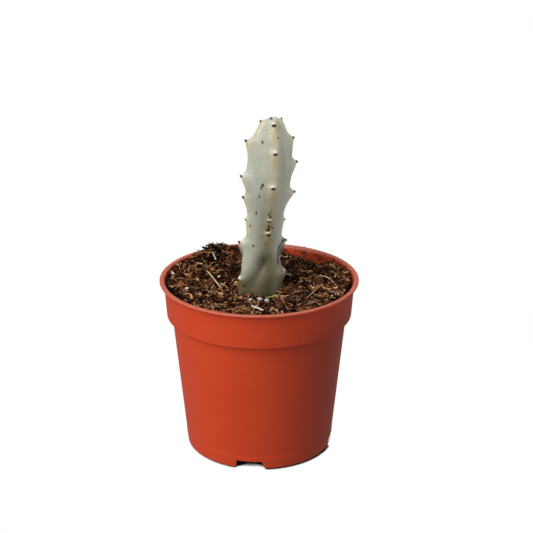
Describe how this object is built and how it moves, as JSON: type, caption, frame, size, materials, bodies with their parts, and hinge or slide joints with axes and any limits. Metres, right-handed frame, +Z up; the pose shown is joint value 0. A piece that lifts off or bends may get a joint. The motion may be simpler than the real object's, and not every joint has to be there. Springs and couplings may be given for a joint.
{
  "type": "potted euphorbia",
  "caption": "Pale four-ribbed euphorbia column standing in coir soil in a round terracotta-coloured plastic nursery pot.",
  "frame": {"origin": "centre of the pot's foot, on the surface it stands on", "axes": "+Z up the pot and the stem; -Y is the side that the stem's front rib faces; +X is to the right seen from there"},
  "size_m": [0.105, 0.105, 0.18],
  "materials": {
    "pot_plastic": "satin",
    "stem_skin": "satin",
    "coir_soil": "matte",
    "straw": "matte",
    "pale_wood": "matte",
    "root": "matte",
    "bark": "matte",
    "perlite": "matte",
    "grass": "satin"
  },
  "bodies": {
    "root": {"pot": "pot_plastic", "euphorbia_stem": "stem_skin", "soil": "coir_soil", "straw_stalk": "straw", "straw_tuft": "straw", "twig_right": "straw", "splinter_front": "pale_wood", "splinter_back": "pale_wood", "splinter_left": "pale_wood", "wood_chip_right": "pale_wood", "pale_chip_left": "pale_wood", "root_long": "root", "root_short": "root", "bark_chip_front": "bark", "bark_chip_stem": "bark", "perlite_1": "perlite", "perlite_2": "perlite", "perlite_3": "perlite", "grass_blade": "grass"}
  },
  "joints": []
}
